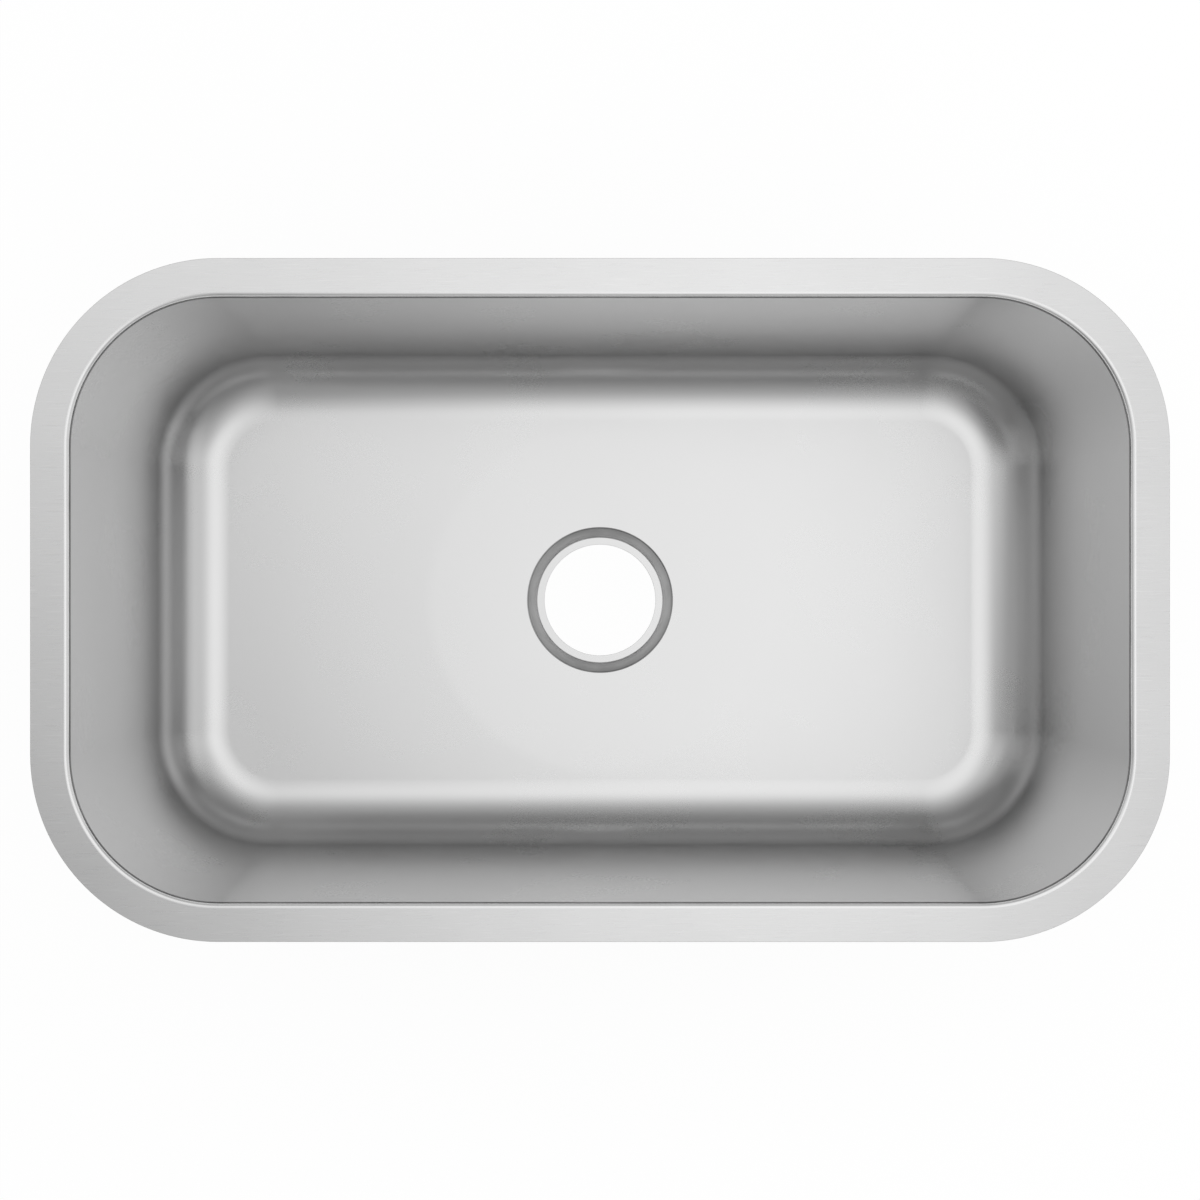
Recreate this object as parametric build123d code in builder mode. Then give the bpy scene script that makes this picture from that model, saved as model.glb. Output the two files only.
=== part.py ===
from build123d import *

import os
from math import atan2, cos, radians, sin, tan

# Undermount kitchen sink with one bowl, in millimetres. The origin is the middle of the opening, in the
# plane of the flange's top, which presses on the countertop. +X runs along the sink, +Y to the back, +Z up.

# Bowl, drawn from one sheet. Its sizes are those of the visible side.
bowl_length = 710.0  # along X, where the end walls would meet the flange without the bend
bowl_width = 405.2  # along Y, measured the same way
bowl_depth = 228.6  # flange top to the floor, where the floor meets the drain recess
corner_radius = 99.4  # upright corners, at the flange
wall_draft = 4.2  # degrees that the walls lean inwards
cove_radius = 47.0  # sweep from the walls to the floor
bend_radius = 4.0  # bend from the flange into the walls
flange_width = 26.0  # outer edge to the line where the walls would meet the flange
sheet = 1.2  # thickness of the steel

# Dish, the shallow cone that drains the flat floor
dish_fall = 1.3  # degrees
dish_margin = 6.0  # outer edge of the dish to the coves of the long sides

# Drain recess, a conical step in the middle of the dish with a flat seat round the hole
drain_hole_radius = 44.45
seat_radius = 50.3  # where the recess wall would meet the seat
recess_radius = 57.4  # where the recess wall would meet the dish
recess_depth = 9.0  # dish to seat
recess_rim_round = 1.6
seat_corner_round = 1.0

# Sprayed coat on the outside of the bowl
coat = 0.8
coat_top_gap = 22.0  # flange top to the upper edge of the coat, bare steel for the clips and the sealant
coat_drain_gap = 14.0  # bare ring round the recess, for the washer and nut of the drain

# Rubber sound pads, cut from sheet and bonded to the steel, with the coat sprayed up to their edges
pad = 3.0
pad_corner_radius = 10.0
floor_pad_length = 130.0
floor_pad_width = 220.0
floor_pad_end_gap = 78.0  # end of the opening to the pads, along X
side_pad_length = 190.0  # on the front and back walls
side_pad_height = 110.0
side_pad_end_gap = 125.0  # end of the opening to the pads, along X
end_pad_length = 130.0
end_pad_height = 110.0

draft = radians(wall_draft)
fall = radians(dish_fall)
recess_wall_angle = atan2(recess_depth, recess_radius - seat_radius)
cove_foot = bowl_width / 2 - bowl_depth * tan(draft) - cove_radius * tan((radians(90) - draft) / 2)
dish_radius = cove_foot - dish_margin
floor_depth = bowl_depth - (dish_radius - recess_radius) * tan(fall)
pad_middle_depth = (coat_top_gap + floor_depth - cove_radius) / 2


def drawn_form(grow):
    """The space inside the bowl, with its dish and drain recess, grown square to every wall by a distance."""
    side = grow / cos(draft)
    corner_shift = grow * tan(recess_wall_angle / 2)
    foot = (seat_radius + corner_shift, -bowl_depth - recess_depth - grow)
    rim = (recess_radius + corner_shift, -bowl_depth - grow / cos(fall) + corner_shift * tan(fall))
    dish_edge = (dish_radius + grow * tan(fall / 2), -floor_depth - grow)
    below = 2 * foot[1]
    with BuildPart() as form:
        with BuildSketch(Plane.XY):
            RectangleRounded(bowl_length + 2 * side, bowl_width + 2 * side, corner_radius + side)
        extrude(amount=-below, dir=(0, 0, -1), taper=wall_draft)
        with BuildSketch(Plane.XZ) as ground:
            with BuildLine():
                Polyline(
                    (0, foot[1]),
                    foot,
                    rim,
                    dish_edge,
                    (bowl_length, dish_edge[1]),
                    (bowl_length, 2 * below),
                    (0, 2 * below),
                    close=True,
                )
            make_face()
            for corner, rounding in ((foot, seat_corner_round + grow), (rim, recess_rim_round - grow)):
                if rounding > 0:
                    fillet(ground.vertices().sort_by_distance((*corner, 0))[0], rounding)
        revolve(axis=Axis.Z, mode=Mode.SUBTRACT)
        floor = form.faces().filter_by(Plane.XY).sort_by(Axis.Z)[1]
        fillet(floor.outer_wire().edges(), cove_radius + grow)
    return form.part


inside = drawn_form(0)
outside = drawn_form(sheet)

with BuildPart() as bowl:
    with BuildSketch(Plane.XY):
        RectangleRounded(
            bowl_length + 2 * flange_width, bowl_width + 2 * flange_width, corner_radius + flange_width
        )
    extrude(amount=-sheet)
    add(outside)
    add(inside, mode=Mode.SUBTRACT)
    with Locations((0, 0, -bowl_depth)):
        Hole(drain_hole_radius)
    flange_top = bowl.faces().filter_by(Plane.XY).sort_by(Axis.Z)[-1]
    fillet(flange_top.inner_wires()[0].edges(), bend_radius)
    flange_under = bowl.faces().filter_by(Plane.XY).sort_by(Axis.Z)[-2]
    fillet(flange_under.inner_wires()[0].edges(), bend_radius - sheet)
bowl.part.label = "bowl"


def floor_pad(label, side):
    """A pad bonded to the steel under the flat floor, on one side (-1 or 1) of the drain."""
    middle = side * (bowl_length / 2 - floor_pad_end_gap - floor_pad_length / 2)
    with BuildPart() as body:
        with BuildSketch(Plane.XY.offset(-floor_depth - sheet)):
            with Locations((middle, 0)):
                RectangleRounded(floor_pad_length, floor_pad_width, pad_corner_radius)
        extrude(amount=-pad)
    body.part.label = label
    return body.part


def wall_pad(label, outward, half_size, along, length, height):
    """A pad bonded to the steel of a wall that faces outward, its middle at a distance along the wall."""
    run = outward.rotate(Axis.Z, 90)
    middle = half_size + sheet / cos(draft) - pad_middle_depth * tan(draft)
    face = Plane(
        origin=outward * middle + run * along - Vector(0, 0, pad_middle_depth),
        x_dir=run,
        z_dir=outward * cos(draft) - Vector(0, 0, sin(draft)),
    )
    with BuildPart() as body:
        with BuildSketch(face):
            RectangleRounded(length, height, pad_corner_radius)
        extrude(amount=pad)
    body.part.label = label
    return body.part


side_pad_along = bowl_length / 2 - side_pad_end_gap - side_pad_length / 2
pads = []
for hand, side in (("left", -1), ("right", 1)):
    pads += [
        floor_pad(f"floor_pad_{hand}", side),
        wall_pad(f"end_pad_{hand}", Vector(side, 0), bowl_length / 2, 0, end_pad_length, end_pad_height),
    ]
    for wall, out in (("front", -1), ("back", 1)):
        along = -out * side * side_pad_along
        pads.append(
            wall_pad(
                f"{wall}_pad_{hand}", Vector(0, out), bowl_width / 2, along, side_pad_length, side_pad_height
            )
        )

coat_outside = drawn_form(sheet + coat)
with BuildPart() as undercoat:
    add(coat_outside)
    add(outside, mode=Mode.SUBTRACT)
    split(bisect_by=Plane.XY.offset(-coat_top_gap), keep=Keep.BOTTOM)
    with Locations((0, 0, -bowl_depth)):
        Hole(recess_radius + coat_drain_gap)
    for piece in pads:
        add(piece, mode=Mode.SUBTRACT)
undercoat.part.label = "undercoat"

os.makedirs("parts", exist_ok=True)
for piece in (bowl.part, undercoat.part, *pads):
    export_step(piece, f"parts/{piece.label}.step")
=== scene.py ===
import logging
from collections.abc import Mapping, Sequence
from dataclasses import dataclass
from enum import Enum, IntEnum
from math import atan2, ceil, cos, pi, radians, remainder, sin, tan

import bpy
import numpy as np
from mathutils import Matrix, Vector


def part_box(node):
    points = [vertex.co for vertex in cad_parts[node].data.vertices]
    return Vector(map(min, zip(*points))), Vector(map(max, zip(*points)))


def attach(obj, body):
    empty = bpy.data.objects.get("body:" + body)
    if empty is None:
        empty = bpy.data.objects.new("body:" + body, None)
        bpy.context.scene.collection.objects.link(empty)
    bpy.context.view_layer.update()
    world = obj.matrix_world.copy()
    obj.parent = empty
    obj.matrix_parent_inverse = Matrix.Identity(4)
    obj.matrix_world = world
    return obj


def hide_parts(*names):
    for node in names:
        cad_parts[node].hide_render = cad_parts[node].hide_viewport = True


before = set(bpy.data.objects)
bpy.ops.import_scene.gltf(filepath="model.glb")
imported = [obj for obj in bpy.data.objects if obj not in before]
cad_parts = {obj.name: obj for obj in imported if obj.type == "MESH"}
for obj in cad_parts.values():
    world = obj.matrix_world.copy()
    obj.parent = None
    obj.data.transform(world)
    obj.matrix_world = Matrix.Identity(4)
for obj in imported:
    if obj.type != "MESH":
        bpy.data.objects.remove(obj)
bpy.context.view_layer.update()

SAME = 1e-6  # heights in metres, facings and counts of steps that differ by less are the same
HALF = 0.5  # the middle of noise, and an even share of two colours
BODY = "root"
ALONG = Vector((1.0, 0.0, 0.0))  # the way of the sink's length
UP = Vector((0.0, 0.0, 1.0))

log = logging.getLogger("sink")


# Shader expressions


class Signal:
    """A shader socket in an expression. Each operator on it adds one Math node to its sheet."""

    def __init__(self, sheet: "NodeSheet", socket: bpy.types.NodeSocket | None) -> None:
        """Wraps a socket of a node on the sheet, or nothing for a node without outputs."""
        self.sheet = sheet
        self.socket = socket

    def _math(self, operation: str, first: "Value", second: "Value" = 0.0) -> "Signal":
        """Adds the Math node of one operation on two values."""
        return self.sheet.add("ShaderNodeMath", {"operation": operation}, {0: first, 1: second})

    def __add__(self, other: "Value") -> "Signal":
        """Adds a value."""
        return self._math("ADD", self, other)

    def __radd__(self, other: "Value") -> "Signal":
        """Adds to a number on the left."""
        return self._math("ADD", other, self)

    def __sub__(self, other: "Value") -> "Signal":
        """Takes a value away."""
        return self._math("SUBTRACT", self, other)

    def __rsub__(self, other: "Value") -> "Signal":
        """Is taken away from a number on the left."""
        return self._math("SUBTRACT", other, self)

    def __mul__(self, other: "Value") -> "Signal":
        """Multiplies by a value."""
        return self._math("MULTIPLY", self, other)

    def __rmul__(self, other: "Value") -> "Signal":
        """Multiplies a number on the left."""
        return self._math("MULTIPLY", other, self)

    def __pow__(self, other: "Value") -> "Signal":
        """Raises to a power."""
        return self._math("POWER", self, other)

    def __rpow__(self, other: "Value") -> "Signal":
        """Is the power of a number on the left."""
        return self._math("POWER", other, self)

    def __abs__(self) -> "Signal":
        """Drops the sign."""
        return self._math("ABSOLUTE", self)

    def at_most(self, limit: "Value") -> "Signal":
        """Keeps the signal from passing a limit."""
        return self._math("MINIMUM", self, limit)

    def at_least(self, limit: "Value") -> "Signal":
        """Keeps the signal from falling under a limit."""
        return self._math("MAXIMUM", self, limit)

    def wave(self) -> "Signal":
        """Takes the sine."""
        return self._math("SINE", self)

    def swing(self, size: float) -> "Signal":
        """Turns noise about its middle into a change about 0, of a size."""
        return (self - HALF) * size

    def rise(self, low: float, high: float) -> "Signal":
        """Goes smoothly from 0 to 1 while the signal goes from one value to another.

        Args:
            low: the signal's value at which the result is still 0.
            high: the value at which it has come to 1; under low, the result falls instead.

        Returns:
            The smooth step.
        """
        settings = {"interpolation_type": "SMOOTHSTEP"}
        if low < high:
            return self.sheet.add(
                "ShaderNodeMapRange", settings, {"Value": self, "From Min": low, "From Max": high}
            )
        return 1 - self.rise(high, low)


Value = Signal | float | Sequence[float]
Sockets = dict[str | int, Value]  # what a node's inputs hold or are linked to, by their name or place


class NodeSheet:
    """The nodes of one material or of the world."""

    def __init__(self, tree: bpy.types.NodeTree) -> None:
        """Takes over a node tree and empties it."""
        self.tree = tree
        self.tree.nodes.clear()

    def add(
        self,
        kind: str,
        settings: Mapping[str, object] | None = None,
        values: Sockets | None = None,
        output: str | int = 0,
    ) -> Signal:
        """Adds a node: its settings come first, and then what its sockets hold or are linked to.

        Args:
            kind: the node's type, as Blender names it.
            settings: the node's own properties, such as the operation of a Math node.
            values: a number, a colour or a signal for each socket, by the socket's name or place.
            output: the name or place of the output that is wanted.

        Returns:
            The wanted output.
        """
        node = self.tree.nodes.new(kind)
        for name, setting in (settings or {}).items():
            setattr(node, name, setting)
        for name, value in (values or {}).items():
            if isinstance(value, Signal):
                self.tree.links.new(value.socket, node.inputs[name])
            else:
                node.inputs[name].default_value = value
        return Signal(self, node.outputs[output] if node.outputs else None)

    def place(self) -> Signal:
        """Gives the place on the object, in metres."""
        return self.add("ShaderNodeTexCoord", output="Object")

    def parts(self, vector: Signal) -> tuple[Signal, Signal, Signal]:
        """Takes a vector apart.

        Args:
            vector: the vector.

        Returns:
            Its X, Y and Z.
        """
        first = self.add("ShaderNodeSeparateXYZ", values={"Vector": vector})
        outputs = first.socket.node.outputs
        return first, Signal(self, outputs[1]), Signal(self, outputs[2])

    def times(self, vector: Value, factors: Value) -> Signal:
        """Multiplies a vector or a colour by another, part by part."""
        return self.add("ShaderNodeVectorMath", {"operation": "MULTIPLY"}, {0: vector, 1: factors})

    def along(self, vector: Signal, way: Sequence[float]) -> Signal:
        """Gives how far a vector reaches along a way of length 1."""
        return self.add("ShaderNodeVectorMath", {"operation": "DOT_PRODUCT"}, {0: vector, 1: way}, output=1)

    def noise(self, vector: Signal, per_metre: float, detail: float = 2.0) -> Signal:
        """Gives smooth noise about 0.5.

        Args:
            vector: the place that the noise depends on.
            per_metre: how many bumps it has in one unit of the place.
            detail: how many finer layers lie on the first.

        Returns:
            The noise.
        """
        values: Sockets = {"Vector": vector, "Scale": per_metre, "Detail": detail}
        return self.add("ShaderNodeTexNoise", values=values)

    def blend(self, share: Value, first: Value, second: Value) -> Signal:
        """Mixes two colours by a share of the second."""
        values = {0: share, 6: first, 7: second}  # by place, because the sockets' names repeat
        return self.add("ShaderNodeMix", {"data_type": "RGBA"}, values, output=2)

    def bump(self, height: Signal, depth: float, under: Signal | None = None) -> Signal:
        """Turns a height into the way that the surface faces.

        Args:
            height: the relief, about 0 to 1.
            depth: how deep in metres the relief is from 0 to 1.
            under: the relief that this one lies on.

        Returns:
            The normal.
        """
        values: Sockets = {"Height": height, "Distance": depth, "Strength": 1.0}
        if under:
            values["Normal"] = under
        return self.add("ShaderNodeBump", values=values)


def grey(level: float, warmth: float = 0.0) -> tuple[float, float, float, float]:
    """Gives an opaque grey, whose red is raised and whose blue is lowered by a share for warmth."""
    return (level * (1 + warmth), level, level * (1 - warmth), 1.0)


def blank_material(name: str) -> tuple[bpy.types.Material, NodeSheet]:
    """Makes a material that has no nodes yet.

    Args:
        name: the material's name.

    Returns:
        The material, and the sheet for its nodes.
    """
    made = bpy.data.materials.new(name)
    made.use_nodes = True
    return made, NodeSheet(made.node_tree)


# Finishes


@dataclass(frozen=True)
class Finish:
    """A material made from nodes. Each kind says what its surface looks like."""

    name: str

    def surface(self, sheet: NodeSheet) -> Sockets:
        """Gives what the sockets of the Principled shader hold or are linked to."""
        raise NotImplementedError

    def material(self) -> bpy.types.Material:
        """Makes the material in Blender.

        Returns:
            The material, with one Principled shader.
        """
        made, sheet = blank_material(self.name)
        shader = sheet.add("ShaderNodeBsdfPrincipled", values=self.surface(sheet))
        sheet.add("ShaderNodeOutputMaterial", values={"Surface": shader})
        return made


@dataclass(frozen=True)
class BrushedSteel(Finish):
    """Stainless steel brushed along X, as on the flange."""

    level: float = 0.71
    contrast: float = 0.045
    roughness: float = 0.28
    streak_length: float = 0.022
    streak_width: float = 0.0009
    bright_streaks: tuple[float, float] = (0.60, 0.78)
    dark_streaks: tuple[float, float] = (0.40, 0.22)
    streak_share: float = 0.5
    streak_roughness: float = 0.03
    streak_relief: float = 0.5
    hair_rates: tuple[float, float] = (0.7, 2.3)  # hairs to one streak, along and across the brushing
    hair_share: float = 0.35
    hair_relief: float = 0.4
    clouds_per_metre: float = 14.0
    cloud_share: float = 0.5
    scratch_depth: float = 0.000006

    def surface(self, sheet: NodeSheet) -> Sockets:
        """Draws long fine streaks, a few of them stronger, which tint the steel and change its gloss.

        Args:
            sheet: the nodes of the material.

        Returns:
            What the shader's sockets hold or are linked to.
        """
        place = sheet.place()
        long, thin = 1 / self.streak_length, 1 / self.streak_width
        longer, finer = self.hair_rates
        streaks = sheet.noise(sheet.times(place, (long, thin, thin)), 1.0, detail=1.0)
        hairs = sheet.noise(sheet.times(place, (longer * long, finer * thin, finer * thin)), 1.0, detail=0.0)
        clouds = sheet.noise(place, self.clouds_per_metre)
        strong = streaks.rise(*self.bright_streaks) - streaks.rise(*self.dark_streaks)
        lines = strong * self.streak_share + hairs.swing(self.hair_share)
        tone = lines + clouds.swing(self.cloud_share) + HALF
        dark, light = grey(self.level - self.contrast), grey(self.level + self.contrast)
        return {
            "Base Color": sheet.blend(tone, dark, light),
            "Metallic": 1.0,
            "Roughness": self.roughness + strong * self.streak_roughness,
            "Normal": sheet.bump(strong * self.streak_relief + hairs * self.hair_relief, self.scratch_depth),
        }


@dataclass(frozen=True)
class SatinSteel(Finish):
    """Stainless steel with the soft satin of the bowl's inside.

    Painted shade darkens the coves and walls against the floor, and the walls are painted lighter again
    towards the top. The rounded ends of the coves get the most painted shade. Each pair of heights, or of
    distances from the middle, says where a change begins and where it is complete.
    """

    level: float = 0.72
    roughness: float = 0.28
    # Painted shade: how much the coves, walls and cove ends are darkened, and how much the wall tops are lit
    # again
    cove_painted_shade: float = 0.09
    cove_heights: tuple[float, float] = (-0.2266, -0.2225)
    wall_painted_shade: float = 0.065
    wall_heights: tuple[float, float] = (-0.165, -0.115)
    wall_top_shade_lift: float = 0.6
    top_heights: tuple[float, float] = (-0.070, -0.005)
    corner_painted_shade: float = 0.13
    corner_x: tuple[float, float] = (0.262, 0.300)
    corner_y: tuple[float, float] = (0.108, 0.135)
    corner_heights: tuple[float, float] = (-0.209, -0.218)
    grain_size: float = 0.0005
    grain_stretch: tuple[float, float, float] = (0.2, 1.0, 1.0)
    grain_tint: float = 0.005
    grain_roughness: float = 0.015
    grain_depth: float = 0.000001
    clouds_per_metre: float = 11.0
    cloud_tint: float = 0.020
    cloud_roughness: float = 0.06
    ripple_size: float = 0.07
    ripple_depth: float = 0.00012

    def surface(self, sheet: NodeSheet) -> Sockets:
        """Draws painted shade on the coves and walls, the fine grain, faint clouds in the polish and the
        slow ripple of drawn sheet.

        Args:
            sheet: the nodes of the material.

        Returns:
            What the shader's sockets hold or are linked to.
        """
        place = sheet.place()
        x, y, height = sheet.parts(place)
        grain = sheet.noise(sheet.times(place, self.grain_stretch), 1 / self.grain_size, detail=3.0)
        clouds = sheet.noise(place, self.clouds_per_metre, detail=3.0)
        ripple = sheet.noise(place, 1 / self.ripple_size, detail=1.0)
        # Painted shade by place: darker coves and walls, walls lighter again at the top, darkest at the
        # coves' ends
        cove = height.rise(*self.cove_heights)
        wall = height.rise(*self.wall_heights) - height.rise(*self.top_heights) * self.wall_top_shade_lift
        outside = abs(x).rise(*self.corner_x) * abs(y).rise(*self.corner_y)
        corner = outside * height.rise(*self.corner_heights)
        painted_shade = cove * (corner * self.corner_painted_shade + self.cove_painted_shade) + wall * self.wall_painted_shade
        speckle = grain.swing(self.grain_tint) + clouds.swing(self.cloud_tint)
        roughness = self.roughness + grain.swing(self.grain_roughness) + clouds.swing(self.cloud_roughness)
        return {
            "Base Color": sheet.blend((1 - painted_shade) * self.level + speckle, grey(0.0), grey(1.0)),
            "Metallic": 1.0,
            "Roughness": roughness,
            "Normal": sheet.bump(grain, self.grain_depth, sheet.bump(ripple, self.ripple_depth)),
        }


@dataclass(frozen=True)
class BendSteel(Finish):
    """The bend's steel, worn smooth, painted lighter as a highlight, and painted dark below as shade."""

    level: float = 0.74
    contrast: float = 0.03
    roughness: float = 0.22
    wear_size: float = 0.012
    wear_roughness: float = 0.08
    wear_depth: float = 0.00001
    # Painted shade: the grey of the bend's lower part, below an edge that wanders between these heights
    shade_band_level: float = 0.38
    shade_band_heights: tuple[float, float] = (-0.0014, -0.0022)
    shade_band_wander: float = 0.0016
    wander_size: float = 0.040

    def surface(self, sheet: NodeSheet) -> Sockets:
        """Draws the painted shade low on the bend, and slow changes in how far the bend is worn bright.

        Args:
            sheet: the nodes of the material.

        Returns:
            What the shader's sockets hold or are linked to.
        """
        place = sheet.place()
        _, _, height = sheet.parts(place)
        wear = sheet.noise(place, 1 / self.wear_size, detail=3.0)
        wander = sheet.noise(place, 1 / self.wander_size).swing(self.shade_band_wander)
        # The level is a little lighter than the other steels as a painted highlight; the lower part is
        # painted shade
        worn_with_painted_highlight = sheet.blend(wear, grey(self.level - self.contrast), grey(self.level + self.contrast))
        painted_shade_band = (height + wander).rise(*self.shade_band_heights)
        return {
            "Base Color": sheet.blend(painted_shade_band, worn_with_painted_highlight, grey(self.shade_band_level)),
            "Metallic": 1.0,
            "Roughness": self.roughness + wear.swing(self.wear_roughness),
            "Normal": sheet.bump(wear, self.wear_depth),
        }


@dataclass(frozen=True)
class RecessSteelPaintedShade(Finish):
    """The steel of the recess's wall, with painted shade darkest at its rim and lighter to the seat and
    sides.
    """

    seat_height: float
    wall_height: float
    # Painted shade: the greys from the rim down the wall to the seat; the sides get painted light
    rim_shade_level: float = 0.315
    wall_shade_level: float = 0.395
    seat_level: float = 0.62
    rim_climb: tuple[float, float] = (0.25, 1.0)  # shares of the way up from the seat
    wall_climb: tuple[float, float] = (0.04, 0.30)
    smear_and_side_light_spread: float = 0.22
    sides: tuple[float, float] = (0.015, 0.055)
    roughness: float = 0.32
    smear_size: float = 0.020
    smear_stretch: tuple[float, float, float] = (1.0, 1.0, 2.5)
    smear_range: tuple[float, float] = (0.30, 0.70)
    smear_roughness: float = 0.12
    smear_depth: float = 0.00004

    def surface(self, sheet: NodeSheet) -> Sockets:
        """Draws painted shade from rim to seat, painted light towards the sides, and the punch's smears.

        Args:
            sheet: the nodes of the material.

        Returns:
            What the shader's sockets hold or are linked to.
        """
        place = sheet.place()
        x, _, height = sheet.parts(place)
        climb = (height - self.seat_height) * (1 / self.wall_height)
        smears = sheet.noise(sheet.times(place, self.smear_stretch), 1 / self.smear_size, detail=3.0)
        # Painted shade from the rim down to the seat, and painted light towards the left and right
        upper = sheet.blend(climb.rise(*self.rim_climb), grey(self.wall_shade_level), grey(self.rim_shade_level))
        recess_painted_shade = sheet.blend(climb.rise(*self.wall_climb), grey(self.seat_level), upper)
        tone = (smears.rise(*self.smear_range) + abs(x).rise(*self.sides)) * HALF
        smears_and_side_light = sheet.blend(tone, grey(1 - self.smear_and_side_light_spread), grey(1 + self.smear_and_side_light_spread))
        return {
            "Base Color": sheet.times(recess_painted_shade, smears_and_side_light),
            "Metallic": 1.0,
            "Roughness": self.roughness + smears.swing(self.smear_roughness),
            "Normal": sheet.bump(smears, self.smear_depth),
        }


@dataclass(frozen=True)
class MillSteel(Finish):
    """The duller steel of the bowl's outside, with drawing marks and stray specks of the sprayed coat."""

    coat_edge: float
    level: float = 0.52
    contrast: float = 0.05
    dark_warmth: float = 0.01
    light_warmth: float = 0.006
    roughness: float = 0.40
    mark_width: float = 0.0012
    mark_rate: float = 0.03  # marks met on the way up, to one met across
    mark_share: float = 1.2
    mark_depth: float = 0.000015
    clouds_per_metre: float = 16.0
    cloud_share: float = 1.2
    cloud_roughness: float = 0.16
    speck_size: float = 0.0016
    speck_reach: float = 0.013
    speck_share: float = 0.20
    drain_share: float = 0.12
    drain_heights: tuple[float, float] = (-0.044, -0.088)
    speck_range: tuple[float, float] = (0.80, 0.84)
    speck_level: float = 0.13
    speck_roughness: float = 0.30
    speck_depth: float = 0.00015

    def surface(self, sheet: NodeSheet) -> Sockets:
        """Draws upright drawing marks, clouds, and specks that thin out away from the coat's edge.

        Args:
            sheet: the nodes of the material.

        Returns:
            What the shader's sockets hold or are linked to.
        """
        place = sheet.place()
        _, _, height = sheet.parts(place)
        wide = 1 / self.mark_width
        marks = sheet.noise(sheet.times(place, (wide, wide, self.mark_rate * wide)), 1.0, detail=3.0)
        clouds = sheet.noise(place, self.clouds_per_metre, detail=4.0)
        dots = sheet.noise(place, 1 / self.speck_size, detail=1.0)
        near = height.rise(self.coat_edge + self.speck_reach, self.coat_edge) * self.speck_share
        fewer = height.rise(*self.drain_heights) * (self.speck_share - self.drain_share)
        specks = (dots + near - fewer).rise(*self.speck_range)
        tone = marks.swing(self.mark_share) + clouds.swing(self.cloud_share) + HALF
        dark = grey(self.level - self.contrast, self.dark_warmth)
        light = grey(self.level + self.contrast, self.light_warmth)
        return {
            "Base Color": sheet.blend(specks, sheet.blend(tone, dark, light), grey(self.speck_level)),
            "Metallic": 1 - specks,
            "Roughness": (
                self.roughness + clouds.swing(self.cloud_roughness) + specks * self.speck_roughness
            ),
            "Normal": sheet.bump(specks, self.speck_depth, sheet.bump(marks, self.mark_depth)),
        }


@dataclass(frozen=True)
class SprayedCoat(Finish):
    """The thick grey coat on the bowl's outside, pebbled as it dried."""

    level: float = 0.17
    dark_share: float = 0.82
    light_share: float = 1.2
    roughness: float = 0.72
    pebble_size: float = 0.0032
    pebble_range: tuple[float, float] = (0.34, 0.62)
    pebble_share: float = 0.5
    pebble_polish: float = 0.10
    pebble_depth: float = 0.00045
    grit_size: float = 0.0009
    grit_share: float = 0.6
    grit_roughness: float = 0.2
    grit_depth: float = 0.00012
    clouds_per_metre: float = 7.0
    cloud_share: float = 1.4

    def surface(self, sheet: NodeSheet) -> Sockets:
        """Draws flat-topped pebbles with fine grit on them, and slow changes in the grey.

        Args:
            sheet: the nodes of the material.

        Returns:
            What the shader's sockets hold or are linked to.
        """
        place = sheet.place()
        lumps = sheet.noise(place, 1 / self.pebble_size, detail=1.5)
        grit = sheet.noise(place, 1 / self.grit_size)
        clouds = sheet.noise(place, self.clouds_per_metre, detail=3.0)
        pebbles = lumps.rise(*self.pebble_range)
        broad = clouds.swing(self.cloud_share) + pebbles.swing(self.pebble_share)
        tone = broad + grit.swing(self.grit_share) + HALF
        dark, light = grey(self.level * self.dark_share), grey(self.level * self.light_share)
        return {
            "Base Color": sheet.blend(tone, dark, light),
            "Roughness": self.roughness - pebbles * self.pebble_polish + grit.swing(self.grit_roughness),
            "Normal": sheet.bump(grit, self.grit_depth, sheet.bump(pebbles, self.pebble_depth)),
        }


@dataclass(frozen=True)
class PadRubber(Finish):
    """Dark rubber with a fine diamond emboss and a little dust."""

    run: Sequence[float]
    rise: Sequence[float]
    level: float = 0.028
    roughness: float = 0.58
    diamond_size: float = 0.0042
    groove_range: tuple[float, float] = (0.30, 0.0)
    emboss_depth: float = 0.0003
    grain_per_metre: float = 1500.0
    grain_roughness: float = 0.1
    grain_depth: float = 0.00004
    clouds_per_metre: float = 25.0
    dust_level: float = 0.09
    dust_start: float = 0.45
    dust_share: float = 0.9
    groove_dust: float = 0.25
    dust_roughness: float = 0.3

    def surface(self, sheet: NodeSheet) -> Sockets:
        """Draws the crossed grooves of the emboss, fine grain, and dust in the grooves.

        Args:
            sheet: the nodes of the material.

        Returns:
            What the shader's sockets hold or are linked to.
        """
        place = sheet.place()
        along, up = sheet.along(place, self.run), sheet.along(place, self.rise)
        turn = pi / self.diamond_size
        rising = abs(((along + up) * turn).wave())
        falling = abs(((along - up) * turn).wave())
        grooves = rising.at_most(falling).rise(*self.groove_range)
        grain = sheet.noise(place, self.grain_per_metre)
        clouds = sheet.noise(place, self.clouds_per_metre, detail=4.0)
        dust = (clouds - self.dust_start).at_least(0.0) * self.dust_share + grooves * self.groove_dust
        return {
            "Base Color": sheet.blend(dust, grey(self.level), grey(self.dust_level)),
            "Roughness": self.roughness + dust * self.dust_roughness + grain.swing(self.grain_roughness),
            "Normal": sheet.bump(grain, self.grain_depth, sheet.bump(1 - grooves, self.emboss_depth)),
        }


# Sections and outlines of pressed sheet


@dataclass(frozen=True)
class Corner:
    """A corner of a section before it is rounded: how far out, how high, and its rounding."""

    out: float
    height: float
    rounding: float = 0.0


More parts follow.
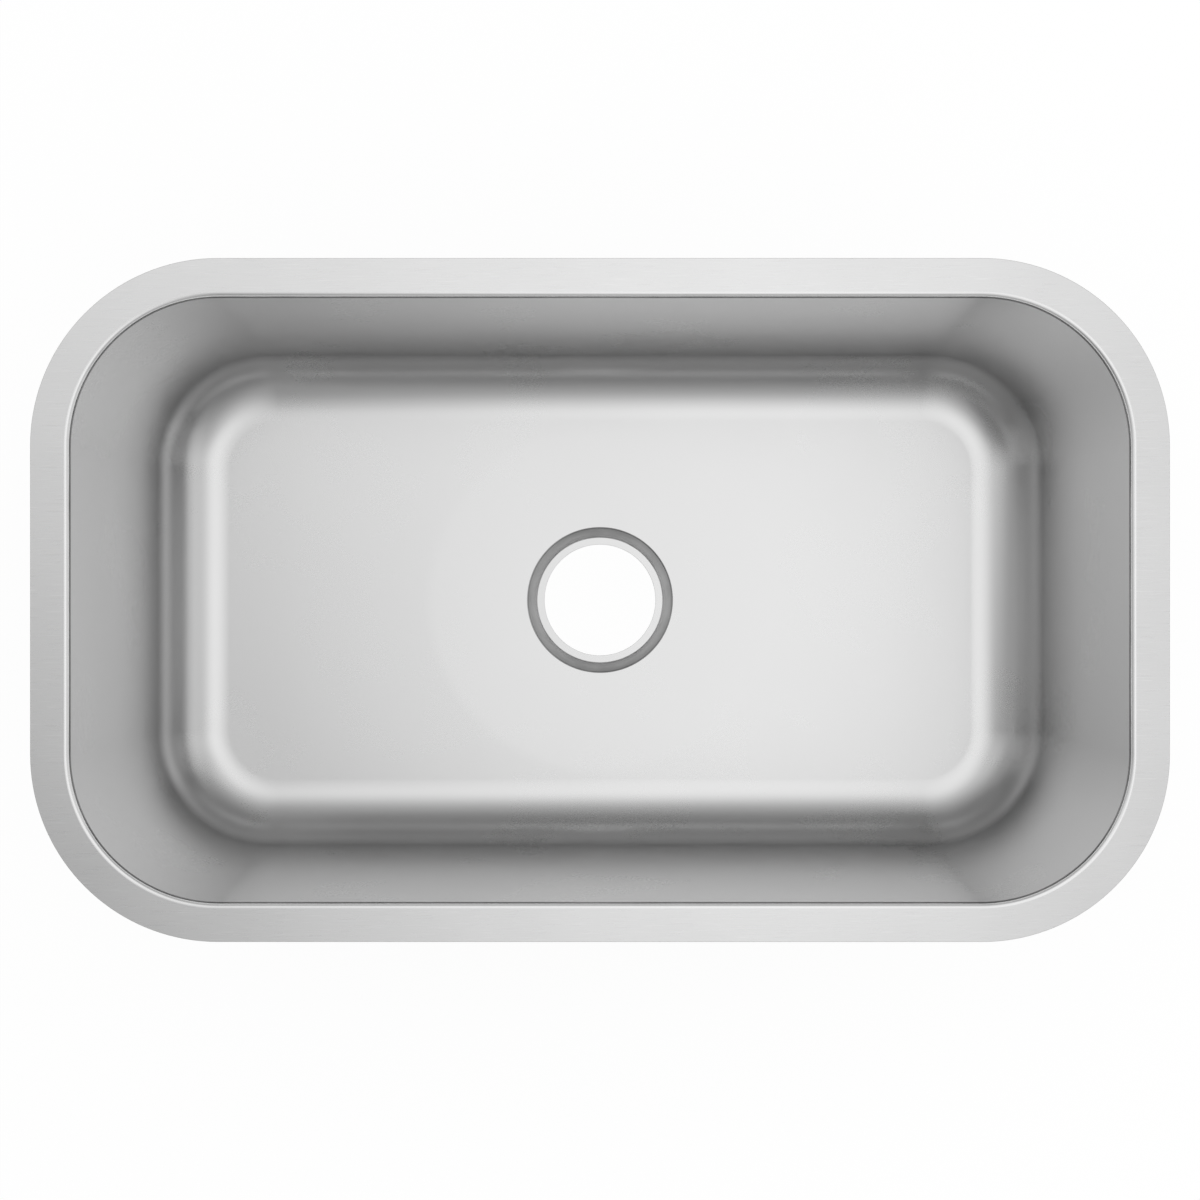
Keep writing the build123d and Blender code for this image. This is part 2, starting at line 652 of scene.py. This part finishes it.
@dataclass(frozen=True)
class Ring:
    """One level of a section: its place and the way that its surface faces, both as (out, up)."""

    place: Vector
    facing: Vector

    def under(self, distance: float) -> "Ring":
        """Gives the ring that lies so deep under the surface, facing the same way."""
        return Ring(self.place - self.facing * distance, self.facing)

    def behind(self, distance: float) -> "Ring":
        """Gives the ring on the back of a sheet that is so thick, facing the other way."""
        return Ring(self.place - self.facing * distance, -self.facing)


class Section:
    """Straight runs with rounded corners, drawn from the outside inwards and seen from the top side."""

    def __init__(self, corners: Sequence[Corner], turn_step: float, longest: float) -> None:
        """Takes the corners, and how finely the section is divided.

        Args:
            corners: the corners in order, the two ends among them.
            turn_step: the largest turn between two rings of a rounding, in radians.
            longest: the longest step on a straight run.
        """
        self.corners = [Vector((corner.out, corner.height)) for corner in corners]
        self.roundings = [corner.rounding for corner in corners]
        self.turn_step = turn_step
        self.longest = longest

    @staticmethod
    def _facing(heading: float) -> Vector:
        """Gives the way that the surface faces where the section runs in a direction."""
        return Vector((sin(heading), -cos(heading)))

    def _bend(self, at: int) -> list[Ring]:
        """Divides the rounding at a corner.

        Args:
            at: the corner's place in the list.

        Returns:
            The rings of the rounding, or the two rings of a sharp corner.
        """
        arriving = self.corners[at] - self.corners[at - 1]
        leaving = self.corners[at + 1] - self.corners[at]
        heading = atan2(arriving.y, arriving.x)
        turn = remainder(atan2(leaving.y, leaving.x) - heading, 2 * pi)
        radius = self.roundings[at] * (1 if turn > 0 else -1)
        start = self.corners[at] - arriving.normalized() * (abs(radius) * tan(abs(turn) / 2))
        centre = start - self._facing(heading) * radius
        steps = ceil(abs(turn) / self.turn_step) if radius else 1
        facings = [self._facing(heading + turn * step / steps) for step in range(steps + 1)]
        return [Ring(centre + facing * radius, facing) for facing in facings]

    def rings(self) -> list[Ring]:
        """Divides the whole section.

        Returns:
            Every ring, with the straight runs cut into even steps.
        """
        first, last = self.corners[1] - self.corners[0], self.corners[-1] - self.corners[-2]
        ends = [
            Ring(self.corners[0], self._facing(atan2(first.y, first.x))),
            Ring(self.corners[-1], self._facing(atan2(last.y, last.x))),
        ]
        bends = [self._bend(at) for at in range(1, len(self.corners) - 1)]
        found = [ends[0]]
        for bend in [*bends, [ends[1]]]:
            goal = bend[0]
            gap = goal.place - found[-1].place
            steps = ceil(gap.length / self.longest - SAME)
            found += [Ring(goal.place - gap * (1 - step / steps), goal.facing) for step in range(1, steps)]
            found += bend
        return found


@dataclass(frozen=True)
class Outline:
    """A rounded rectangle about the middle of the opening, as stations along its edge."""

    half_length: float
    half_width: float
    corner_radius: float
    corner_steps: int = 36
    longest: float = 0.0065

    def stations(self) -> tuple[np.ndarray, np.ndarray]:
        """Walks round the edge once.

        Returns:
            The middle that each station turns about, and the way outwards there, one row each.
        """
        core_x, core_y = self.half_length - self.corner_radius, self.half_width - self.corner_radius
        centres = np.array([(core_x, core_y), (-core_x, core_y), (-core_x, -core_y), (core_x, -core_y)])
        middles, angles = [], []
        for quarter in range(4):
            here, there = centres[quarter], centres[(quarter + 1) % 4]
            turns = np.linspace(quarter, quarter + 1, self.corner_steps + 1) * pi / 2
            steps = ceil(np.linalg.norm(there - here) / self.longest)
            shares = np.arange(1, steps)[:, None] / steps
            middles += [np.repeat(here[None], len(turns), 0), here + (there - here) * shares]
            angles += [turns, np.full(steps - 1, turns[-1])]
        turned = np.concatenate(angles)
        return np.concatenate(middles), np.column_stack([np.cos(turned), np.sin(turned)])


class Skin:
    """A surface of rings with equal counts of points, each ring joined to the next by four-sided faces."""

    def __init__(self) -> None:
        """Starts with no ring."""
        self.places: list[np.ndarray] = []
        self.facings: list[np.ndarray] = []
        self.finishes: list[int] = []

    def add(self, places: np.ndarray, facings: np.ndarray, finish: int = 0) -> None:
        """Adds a ring of points.

        Args:
            places: the points, one row each.
            facings: the way that the surface faces at each of them.
            finish: the slot of the finish for the faces from this ring to the next.
        """
        self.places.append(places)
        self.facings.append(facings)
        self.finishes.append(finish)

    def turn(self, matrix: Matrix) -> None:
        """Turns and moves the whole skin.

        Args:
            matrix: the turn and the move, with no change of size.
        """
        turned, moved = np.array(matrix.to_3x3()), np.array(matrix.translation)
        self.places = [places @ turned.T + moved for places in self.places]
        self.facings = [facings @ turned.T for facings in self.facings]

    def build(self, name: str, finishes: Sequence[Finish], closed: bool = True) -> bpy.types.Object:
        """Makes the object.

        Args:
            name: the piece's name.
            finishes: the finishes in the order of their slots.
            closed: whether the last ring joins the first; if not, a flat face closes each of the two.

        Returns:
            The object, linked to the scene, with the shading of the true curved surface.
        """
        count = len(self.places[0])
        rows = len(self.places)
        near = np.arange(count)
        far = np.roll(near, -1)
        faces = []
        for row in range(rows if closed else rows - 1):
            outer, inner = row * count, (row + 1) % rows * count
            faces += np.column_stack([outer + near, outer + far, inner + far, inner + near]).tolist()
        slots = np.repeat(self.finishes, count)[: len(faces)].tolist()
        if not closed:
            faces += [near[::-1].tolist(), (near + (rows - 1) * count).tolist()]
            slots += [self.finishes[0], self.finishes[-1]]
        mesh = bpy.data.meshes.new(name)
        mesh.from_pydata(np.concatenate(self.places).tolist(), [], faces)
        mesh.polygons.foreach_set("material_index", slots)
        mesh.shade_smooth()
        mesh.normals_split_custom_set_from_vertices(np.concatenate(self.facings).tolist())
        piece = bpy.data.objects.new(name, mesh)
        bpy.context.scene.collection.objects.link(piece)
        for finish in finishes:
            mesh.materials.append(finish.material())
        return piece


class OutlineSkin(Skin):
    """A skin whose rings keep their distance from an outline."""

    def __init__(self, outline: Outline) -> None:
        """Finds the outline's stations.

        Args:
            outline: the outline that the rings follow.
        """
        super().__init__()
        self.corner_radius = outline.corner_radius
        self.middles, self.outwards = outline.stations()

    def lay(
        self, flat: np.ndarray, ways: np.ndarray, ring: Ring, finish: int, shift: np.ndarray | None = None
    ) -> None:
        """Adds a ring at its height.

        Args:
            flat: the ring's points in the plan.
            ways: the way outwards in the plan at each of them.
            ring: the height, and the way that the surface faces.
            finish: the slot of the finish.
            shift: how far each point strays outwards and upwards, one row each.
        """
        strays = np.zeros((len(flat), 2)) if shift is None else shift
        heights = ring.place.y + strays[:, 1]
        ups = np.full(len(flat), ring.facing.y)
        places = np.column_stack([flat + ways * strays[:, :1], heights])
        self.add(places, np.column_stack([ways * ring.facing.x, ups]), finish)

    def around(self, rings: Sequence[Ring], finish: int = 0, shift: np.ndarray | None = None) -> None:
        """Adds rings that keep one distance from the outline.

        Args:
            rings: the rings, by their distance outwards from the outline.
            finish: the slot of the finish.
            shift: how far each point strays outwards and upwards, one row each.
        """
        for ring in rings:
            flat = self.middles + self.outwards * (self.corner_radius + ring.place.x)
            self.lay(flat, self.outwards, ring, finish, shift)


def lip(end: Ring, along: Vector, thickness: float, rounding: float, steps: int = 4) -> list[Ring]:
    """Goes round the cut edge of a sheet, from its top side to its back.

    Args:
        end: the last ring of the top side, which lies on the cut edge.
        along: the way out of the sheet, past the edge, as (out, up).
        thickness: the sheet's thickness.
        rounding: the radius to which both sides of the edge are broken.
        steps: the steps in each rounding.

    Returns:
        The rings round the edge, in order.
    """
    found = []
    for depth, first, second in (
        (rounding, end.facing, along),
        (thickness - rounding, along, -end.facing),
    ):
        centre = end.place - along * rounding - end.facing * depth
        for step in range(steps + 1):
            angle = pi / 2 * step / steps
            facing = first * cos(angle) + second * sin(angle)
            found.append(Ring(centre + facing * rounding, facing))
    return found


# The sink


class Region(IntEnum):
    """The finishes of the bowl's sheet, in the order of its material slots."""

    FLANGE = 0
    BEND = 1
    INSIDE = 2
    RECESS = 3
    OUTSIDE = 4


@dataclass(frozen=True)
class DrawnForm:
    """The form that the sheet is drawn to, in metres.

    It is the one that the frame's bowl has, with a long soft blend into the dish.
    """

    half_length: float
    half_width: float
    depth: float
    flange_width: float = 0.026
    corner_radius: float = 0.0994
    draft: float = radians(4.2)
    bend_radius: float = 0.004
    cove_radius: float = 0.047
    sheet: float = 0.0012
    dish_fall: float = radians(1.3)
    dish_margin: float = 0.006
    dish_blend_radius: float = 0.400
    recess_depth: float = 0.009
    recess_radius: float = 0.0574
    recess_rim_round: float = 0.0016
    seat_radius: float = 0.0503
    seat_corner_round: float = 0.001
    hole_radius: float = 0.04445
    blend_margin: float = 0.0004
    turn_step: float = radians(4.0)
    drain_turn_step: float = radians(8.0)
    longest_step: float = 0.024

    @classmethod
    def from_frame(cls, node: str) -> "DrawnForm":
        """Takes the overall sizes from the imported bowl.

        Args:
            node: the bowl's node.

        Returns:
            The form at the size of the frame.
        """
        low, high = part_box(node)
        depth = -low.z - cls.recess_depth - cls.sheet
        return cls(high.x - cls.flange_width, high.y - cls.flange_width, depth)

    @property
    def foot_reach(self) -> float:
        """How far the cove stands in from the foot of the upright wall."""
        return self.cove_radius * tan((pi / 2 - self.draft) / 2)

    @property
    def dish_radius(self) -> float:
        """Where the dish starts, seen from the drain."""
        return self.half_width - self.depth * tan(self.draft) - self.foot_reach - self.dish_margin

    @property
    def dish_blend_reach(self) -> float:
        """How far the blend into the dish reaches to each side of the dish's edge."""
        return self.dish_blend_radius * tan(self.dish_fall / 2)

    @property
    def floor_depth(self) -> float:
        """From the flange's top to the flat floor."""
        return self.depth - (self.dish_radius - self.recess_radius) * tan(self.dish_fall)

    @property
    def seat_height(self) -> float:
        """Where the flat seat round the drain hole lies."""
        return -self.depth - self.recess_depth

    def outline(self) -> Outline:
        """Gives the opening's outline, where the walls would meet the flange."""
        return Outline(self.half_length, self.half_width, self.corner_radius)

    def wall_corner(self, depth: float, rounding: float = 0.0) -> Corner:
        """Gives the point of the wall at a depth, or the corner that it makes there with the floor."""
        return Corner(-depth * tan(self.draft), -depth, rounding)

    def foot(self) -> Corner:
        """Gives the point where the cove has come to the flat floor."""
        return Corner(-self.floor_depth * tan(self.draft) - self.foot_reach, -self.floor_depth)

    def wall_section(self) -> list[Ring]:
        """Goes from the flange's outer edge over the bend, down the wall and through the cove.

        Returns:
            The rings, by their distance outwards from the outline of the opening.
        """
        corners = [
            Corner(self.flange_width, 0.0),
            Corner(0.0, 0.0, self.bend_radius),
            self.wall_corner(self.floor_depth, self.cove_radius),
            self.foot(),
        ]
        return Section(corners, self.turn_step, self.longest_step).rings()[:-1]

    def drain_section(self, inner: Corner) -> list[Ring]:
        """Goes from the flat floor through the dish, and into the recess as far as a corner.

        Args:
            inner: the last corner, on the dish or on the seat.

        Returns:
            The rings, by their distance from the drain's axis.
        """
        corners = [
            Corner(self.dish_radius + self.dish_blend_reach + self.blend_margin, -self.floor_depth),
            Corner(self.dish_radius, -self.floor_depth, self.dish_blend_radius),
            Corner(self.recess_radius, -self.depth, self.recess_rim_round),
            Corner(self.seat_radius, self.seat_height, self.seat_corner_round),
        ]
        kept = [corner for corner in corners if corner.out > inner.out + self.recess_rim_round]
        return Section([*kept, inner], self.drain_turn_step, self.longest_step).rings()

    def dish_height(self, radius: float) -> float:
        """Gives the height of the dish at a distance from the drain's axis."""
        return -self.depth + (radius - self.recess_radius) * tan(self.dish_fall)


class FormSkin(OutlineSkin):
    """Lays rings of a drawn form: round the opening's outline, across the floor and round the drain."""

    def __init__(self, form: DrawnForm) -> None:
        """Finds the form's stations, and the spokes from the drain through them.

        Args:
            form: the form whose rings are laid.
        """
        super().__init__(form.outline())
        foot = self.middles + self.outwards * (self.corner_radius + form.foot().out)
        self.spokes = foot / np.linalg.norm(foot, axis=1, keepdims=True)

    def round_drain(self, rings: Sequence[Ring], finish: int = 0, shift: np.ndarray | None = None) -> None:
        """Adds rings that keep one distance from the drain's axis."""
        for ring in rings:
            self.lay(self.spokes * ring.place.x, self.spokes, ring, finish, shift)

    def across(self, wide: Ring, narrow: Ring, finish: int = 0, steps: int = 8) -> None:
        """Adds rings between one that follows the outline and one round the drain, ends left out.

        Args:
            wide: the ring that follows the outline.
            narrow: the ring round the drain.
            finish: the slot of the finish of these rings' faces.
            steps: the number of bands between the two.
        """
        outer = self.middles + self.outwards * (self.corner_radius + wide.place.x)
        inner = self.spokes * narrow.place.x
        inwards = wide.facing.y > 0
        for step in range(1, steps):
            share = step / steps if inwards else 1 - step / steps
            self.lay(outer + (inner - outer) * share, self.spokes, wide, finish)


@dataclass(frozen=True)
class Bowl:
    """The bowl: one sheet of steel, with its flange, walls, floor and drain recess."""

    form: DrawnForm
    coat_edge: float
    edge_break: float = 0.0003

    def build(self) -> bpy.types.Object:
        """Makes the sheet as one closed skin, over the top side, round the hole and back underneath.

        Returns:
            The piece.
        """
        form = self.form
        walls = form.wall_section()
        drain = form.drain_section(Corner(form.hole_radius, form.seat_height))
        outer_lip = lip(walls[0], Vector((1.0, 0.0)), form.sheet, self.edge_break)
        hole_lip = lip(drain[-1], Vector((-1.0, 0.0)), form.sheet, self.edge_break)
        flat = [ring for ring in walls if ring.facing.y > 1 - SAME and ring.place.y > -SAME]
        dish = [ring for ring in drain if ring.place.x > form.recess_radius + form.recess_rim_round]
        step = [ring for ring in drain[len(dish):-1] if ring.place.y > form.seat_height + SAME]
        bend = [ring for ring in walls[len(flat):] if ring.place.y > -form.bend_radius]
        under_walls = [ring.behind(form.sheet) for ring in reversed(walls[1:])]
        under_drain = [ring.behind(form.sheet) for ring in reversed(drain[:-1])]
        made = FormSkin(form)
        # The top side, from the flange's outer edge to the drain hole and round its cut edge
        made.around([outer_lip[0], *flat[1:]], Region.FLANGE)
        made.around(bend[:-1], Region.BEND)
        made.around(walls[len(flat) + len(bend) - 1:], Region.INSIDE)
        made.across(walls[-1], drain[0], Region.INSIDE)
        made.round_drain(dish, Region.INSIDE)
        made.round_drain(step, Region.RECESS)
        made.round_drain(drain[len(dish) + len(step):-1], Region.INSIDE)
        made.round_drain(hole_lip, Region.INSIDE)
        # The underside, back to the flange's outer edge and round it
        made.round_drain(under_drain, Region.OUTSIDE)
        made.across(under_walls[0], under_drain[-1], Region.OUTSIDE)
        made.around(under_walls, Region.OUTSIDE)
        made.around(outer_lip[:0:-1], Region.OUTSIDE)
        piece = made.build(
            "sink_bowl",
            [
                BrushedSteel("brushed_flange_steel"),
                BendSteel("bend_steel_painted_highlight_and_shade"),
                SatinSteel("satin_bowl_steel_painted_shade"),
                RecessSteelPaintedShade("recess_steel_painted_shade", form.seat_height, form.recess_depth),
                MillSteel("dull_outer_steel", self.coat_edge),
            ],
        )
        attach(piece, BODY)
        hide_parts("bowl")
        return piece


@dataclass(frozen=True)
class Undercoat:
    """The sprayed coat outside the bowl, which thins out towards its two edges."""

    form: DrawnForm
    edge: float
    drain_gap: float = 0.014
    thickness: float = 0.0008
    thinnest: float = 0.00015
    film: float = 0.00002
    feather: float = 0.008
    feather_steps: int = 4
    edge_wander: float = 0.0011
    waves: Sequence[tuple[int, float, float]] = ((5, 0.4, 0.5), (11, 1.9, 0.3), (23, 4.2, 0.2))

    def _wander(self, count: int) -> np.ndarray:
        """Adds up the waves of the hand-sprayed edge: how many go round, where they start, and their share.

        Args:
            count: the number of stations round the edge.

        Returns:
            How far the edge strays at each station, the same in every run.
        """
        turn = np.linspace(0, 2 * pi, count, endpoint=False)
        return self.edge_wander * sum(size * np.sin(rate * turn + start) for rate, start, size in self.waves)

    def _feathered(self, edge: Ring, inwards: Vector) -> list[tuple[float, Ring, float]]:
        """Lays rings from the edge into the coat.

        Args:
            edge: the steel's ring under the coat's edge.
            inwards: the way from the edge into the coat, as (out, up).

        Returns:
            For each ring, the share of the edge's straying, the steel's ring and the coat's thickness.
        """
        found = []
        for step in range(self.feather_steps + 1):
            share = step / self.feather_steps
            depth = self.thinnest + (self.thickness - self.thinnest) * sin(share * pi / 2)
            found.append((1 - share, Ring(edge.place + inwards * self.feather * share, edge.facing), depth))
        return found

    def build(self) -> bpy.types.Object:
        """Makes the coat as a closed skin: its inner side on the steel, and then its outer side.

        Returns:
            The piece.
        """
        form = self.form
        corners = [
            form.wall_corner(-self.edge),
            form.wall_corner(form.floor_depth, form.cove_radius),
            form.foot(),
        ]
        walls = Section(corners, form.turn_step, form.longest_step).rings()[:-1]
        hole = form.recess_radius + self.drain_gap
        drain = form.drain_section(Corner(hole, form.dish_height(hole)))
        top = self._feathered(walls[0], Vector((-sin(form.draft), -cos(form.draft))))
        bottom = self._feathered(drain[-1], Vector((cos(form.dish_fall), sin(form.dish_fall))))
        drain = [ring for ring in drain if ring.place.x > hole + self.feather]
        made = FormSkin(form)
        wander = self._wander(len(made.spokes))[:, None]
        down, out = np.array([[0.0, -1.0]]), np.array([[1.0, 0.0]])
        inner, outer = form.sheet + self.film, form.sheet + self.thickness
        # The inner side, a thin film off the steel
        for share, ring, _ in top:
            made.around([ring.under(inner)], shift=wander * share * down)
        made.around([ring.under(inner) for ring in walls[1:]])
        made.across(walls[-1].under(inner), drain[0].under(inner))
        made.round_drain([ring.under(inner) for ring in drain])
        for share, ring, _ in reversed(bottom):
            made.round_drain([ring.under(inner)], shift=wander * share * out)
        # The outer side, back up from the drain
        for share, ring, depth in bottom:
            made.round_drain([ring.behind(form.sheet + depth)], shift=wander * share * out)
        made.round_drain([ring.behind(outer) for ring in reversed(drain)])
        made.across(walls[-1].behind(outer), drain[0].behind(outer))
        made.around([ring.behind(outer) for ring in reversed(walls[1:])])
        for share, ring, depth in reversed(top):
            made.around([ring.behind(form.sheet + depth)], shift=wander * share * down)
        piece = made.build("sprayed_undercoat", [SprayedCoat("pebbled_coat")])
        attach(piece, BODY)
        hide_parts("undercoat")
        return piece


class Side(Enum):
    """The sides of the bowl that carry sound pads, each by the way that it faces."""

    FRONT = (0.0, -1.0, 0.0)
    BACK = (0.0, 1.0, 0.0)
    LEFT = (-1.0, 0.0, 0.0)
    RIGHT = (1.0, 0.0, 0.0)
    FLOOR = (0.0, 0.0, -1.0)


@dataclass(frozen=True)
class SoundPad:
    """A moulded rubber pad on the steel, in the place of its frame node, with a lowered rim."""

    node: str
    side: Side
    draft: float
    thickness: float = 0.003
    corner_radius: float = 0.010
    corner_steps: int = 10
    edge_round: float = 0.0007
    rim_width: float = 0.004
    rim_drop: float = 0.0005
    rim_round: float = 0.004
    middle_inset: float = 0.0092
    turn_step: float = radians(15.0)
    longest: float = 0.030

    def build(self) -> bpy.types.Object:
        """Makes the pad as a flat-backed slab with soft edges, and lays it on its wall.

        Returns:
            The piece.
        """
        outward = Vector(self.side.value)
        under = self.side is Side.FLOOR
        lean = 0.0 if under else self.draft
        normal = outward * cos(lean) - UP * sin(lean)
        run = ALONG if under else UP.cross(outward)
        rise = normal.cross(run)
        low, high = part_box(self.node)
        size = high - low
        tall = size.y if under else (size.z - self.thickness * sin(lean)) / cos(lean)
        outline = Outline(
            abs(size.dot(run)) / 2, tall / 2, self.corner_radius, self.corner_steps, self.longest
        )
        corners = [
            Corner(0.0, 0.0),
            Corner(0.0, self.thickness - self.rim_drop, self.edge_round),
            Corner(-self.rim_width, self.thickness - self.rim_drop, self.rim_round),
            Corner(-self.rim_width - self.rim_drop, self.thickness, self.rim_round),
            Corner(-self.middle_inset, self.thickness),
        ]
        made = OutlineSkin(outline)
        made.around(Section(corners, self.turn_step, self.longest).rings())
        seat = Matrix((run, rise, normal)).transposed().to_4x4()
        seat.translation = (low + high) / 2 - normal * self.thickness / 2
        made.turn(seat)
        finish = PadRubber(f"embossed_rubber_{self.node}", tuple(run), tuple(rise))
        piece = made.build(f"sound_{self.node}", [finish], closed=False)
        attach(piece, BODY)
        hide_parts(self.node)
        return piece


# The studio


def stage_sheet(name: str, corners: Sequence[tuple[float, float, float]]) -> bpy.types.Object:
    """Makes a flat sheet that belongs to the studio.

    Args:
        name: the sheet's name.
        corners: its four corners, in order round its edge.

    Returns:
        The sheet, linked to the scene.
    """
    mesh = bpy.data.meshes.new(name)
    mesh.from_pydata(corners, [], [(0, 1, 2, 3)])
    piece = bpy.data.objects.new(name, mesh)
    bpy.context.scene.collection.objects.link(piece)
    return piece


@dataclass(frozen=True)
class SoftLamp:
    """A weak rectangular lamp at the right, turned to the left end of the bowl."""

    place: tuple[float, float, float] = (1.1, 0.0, 0.60)
    aim: tuple[float, float, float] = (-0.32, 0.0, -0.22)
    size: tuple[float, float] = (1.4, 0.60)
    level: float = 0.30

    def build(self) -> None:
        """Hangs the lamp. Its power is worked out from the brightness of its face."""
        length, width = self.size
        light = bpy.data.lights.new("right_lamp", "AREA")
        light.shape = "RECTANGLE"
        light.size, light.size_y = length, width
        light.energy = self.level * pi * length * width
        piece = bpy.data.objects.new("right_lamp", light)
        piece.location = self.place
        piece.rotation_euler = (Vector(self.aim) - Vector(self.place)).to_track_quat("-Z", "Y").to_euler()
        piece.visible_camera = False
        bpy.context.scene.collection.objects.link(piece)


@dataclass(frozen=True)
class GlowPanel:
    """A wide soft panel hung over the sink, whose glow changes slowly from place to place.

    Its brightness is a polynomial of the place on it, in metres: a row for each power of X, from 0 up,
    with a weight for each power of Y. Outside the middle field it keeps the value that it has at the
    field's edge, and it fades over a wide ellipse into an even glow, which is darker at the front left.
    """

    height: float = 1.5
    half_length: float = 3.0
    half_width: float = 2.4
    weights: Sequence[Sequence[float]] = (
        (1.138, -0.092, 0.061, 1.076),
        (0.340, -0.277, -0.094),
        (-0.385, 0.433),
        (-0.285,),
    )
    field_half_length: float = 0.90
    field_half_width: float = 0.50
    stretch: float = 1.5
    fade: tuple[float, float] = (0.2, 2.2)
    outer_level: float = 0.48
    dark_corner: tuple[float, float] = (-1.0, -0.6)
    dark_start: float = 0.5
    dark_level: float = 0.25
    brightest: float = 2.0

    def level(self, sheet: NodeSheet) -> Signal:
        """Works out the brightness.

        Args:
            sheet: the nodes of the panel's material.

        Returns:
            The brightness at each place.
        """
        x, y, _ = sheet.parts(sheet.place())
        near_x = x.at_most(self.field_half_length).at_least(-self.field_half_length)
        near_y = y.at_most(self.field_half_width).at_least(-self.field_half_width)
        total: Value = 0.0
        for row in reversed(self.weights):
            part: Value = 0.0
            for weight in reversed(row):
                part = part * near_y + weight
            total = total * near_x + part
        across = x * (1 / self.stretch)
        reach = (across * across + y * y) ** 0.5
        corner_x, corner_y = self.dark_corner
        shade = x.rise(corner_x * self.dark_start, corner_x) * y.rise(corner_y * self.dark_start, corner_y)
        outer = self.outer_level - shade * (self.outer_level - self.dark_level)
        return total + (outer - total) * reach.rise(*self.fade)

    def build(self) -> None:
        """Hangs the panel, facing down."""
        x, y = self.half_length, self.half_width
        plan = ((-x, -y), (-x, y), (x, y), (x, -y))
        piece = stage_sheet("glow_panel", [(*place, self.height) for place in plan])
        piece.visible_camera = False
        paint, sheet = blank_material("panel_glow")
        share = self.level(sheet) * (1 / self.brightest)
        light = sheet.blend(share, grey(0.0), grey(self.brightest))
        glow = sheet.add("ShaderNodeEmission", values={"Color": light, "Strength": 1.0})
        sheet.add("ShaderNodeOutputMaterial", values={"Surface": glow})
        piece.data.materials.append(paint)


@dataclass(frozen=True)
class Studio:
    """A pale floor, a white horizon, a grey ceiling, a glowing panel overhead and one soft lamp."""

    lowest: float  # the height of the object's foot
    panel: GlowPanel
    lamp: SoftLamp
    floor_gap: float = 0.0001
    floor_reach: float = 12.0
    floor_level: float = 0.90
    floor_glow: float = 0.90
    white_level: float = 1.04
    horizon_level: float = 1.0
    horizon_edge: tuple[float, float] = (0.34, 0.06)
    ceiling_level: float = 0.48

    def floor(self) -> None:
        """Makes the floor, which looks white but keeps a soft share of the shadows on it."""
        reach, height = self.floor_reach, self.lowest - self.floor_gap
        plan = ((-reach, -reach), (reach, -reach), (reach, reach), (-reach, reach))
        piece = stage_sheet("floor", [(*place, height) for place in plan])
        paint, sheet = blank_material("pale_floor")
        rays = sheet.add("ShaderNodeLightPath", output="Is Camera Ray")
        outputs = rays.socket.node.outputs
        seen = rays + Signal(sheet, outputs["Is Glossy Ray"]) + Signal(sheet, outputs["Is Transmission Ray"])
        matt = sheet.add("ShaderNodeBsdfDiffuse", values={"Color": grey(self.floor_level)})
        glow = sheet.add("ShaderNodeEmission", values={"Color": grey(1.0), "Strength": self.white_level})
        share = seen.at_most(1.0) * self.floor_glow
        mixed = sheet.add("ShaderNodeMixShader", values={0: share, 1: matt, 2: glow})
        sheet.add("ShaderNodeOutputMaterial", values={"Surface": mixed})
        piece.data.materials.append(paint)

    def world(self) -> None:
        """Lights the world behind the lamp and the panel."""
        world = bpy.data.worlds.new("studio")
        world.use_nodes = True
        bpy.context.scene.world = world
        sheet = NodeSheet(world.node_tree)
        _, _, up = sheet.parts(sheet.add("ShaderNodeTexCoord", output="Generated"))
        near = up.rise(*self.horizon_edge)
        light = sheet.blend(near, grey(self.ceiling_level), grey(self.horizon_level))
        glow = sheet.add("ShaderNodeBackground", values={"Color": light, "Strength": 1.0})
        sheet.add("ShaderNodeOutputWorld", values={"Surface": glow})

    def build(self) -> None:
        """Sets up the whole studio."""
        self.floor()
        self.world()
        self.panel.build()
        self.lamp.build()


@dataclass(frozen=True)
class PhotoCamera:
    """The camera, straight above the middle of the opening, with the sink's back upwards in the frame."""

    height: float = 1.188
    seen_width: float = 0.8021
    sensor_mm: float = 36.0

    def build(self) -> None:
        """Makes the camera and gives it to the scene."""
        lens = bpy.data.cameras.new("photo_camera")
        lens.sensor_width = self.sensor_mm
        lens.lens = self.sensor_mm * self.height / self.seen_width
        camera = bpy.data.objects.new("photo_camera", lens)
        camera.location = (0.0, 0.0, self.height)
        bpy.context.scene.collection.objects.link(camera)
        bpy.context.scene.camera = camera


def main() -> None:
    """Builds the camera, the studio and each piece of the sink in turn."""
    logging.basicConfig(level=logging.INFO, format="%(name)s: %(message)s")
    bpy.context.scene.view_settings.view_transform = "Standard"
    PhotoCamera().build()
    form = DrawnForm.from_frame("bowl")
    Studio(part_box("bowl")[0].z, GlowPanel(), SoftLamp()).build()
    coat_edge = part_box("undercoat")[1].z
    pieces = [Bowl(form, coat_edge).build(), Undercoat(form, coat_edge).build()]
    for hand, end in (("left", Side.LEFT), ("right", Side.RIGHT)):
        places = (("floor", Side.FLOOR), ("front", Side.FRONT), ("back", Side.BACK), ("end", end))
        for place, side in places:
            pieces.append(SoundPad(f"{place}_pad_{hand}", side, form.draft).build())
    for piece in pieces:
        log.info("%s: %d points", piece.name, len(piece.data.vertices))


if __name__ == "__main__":
    main()
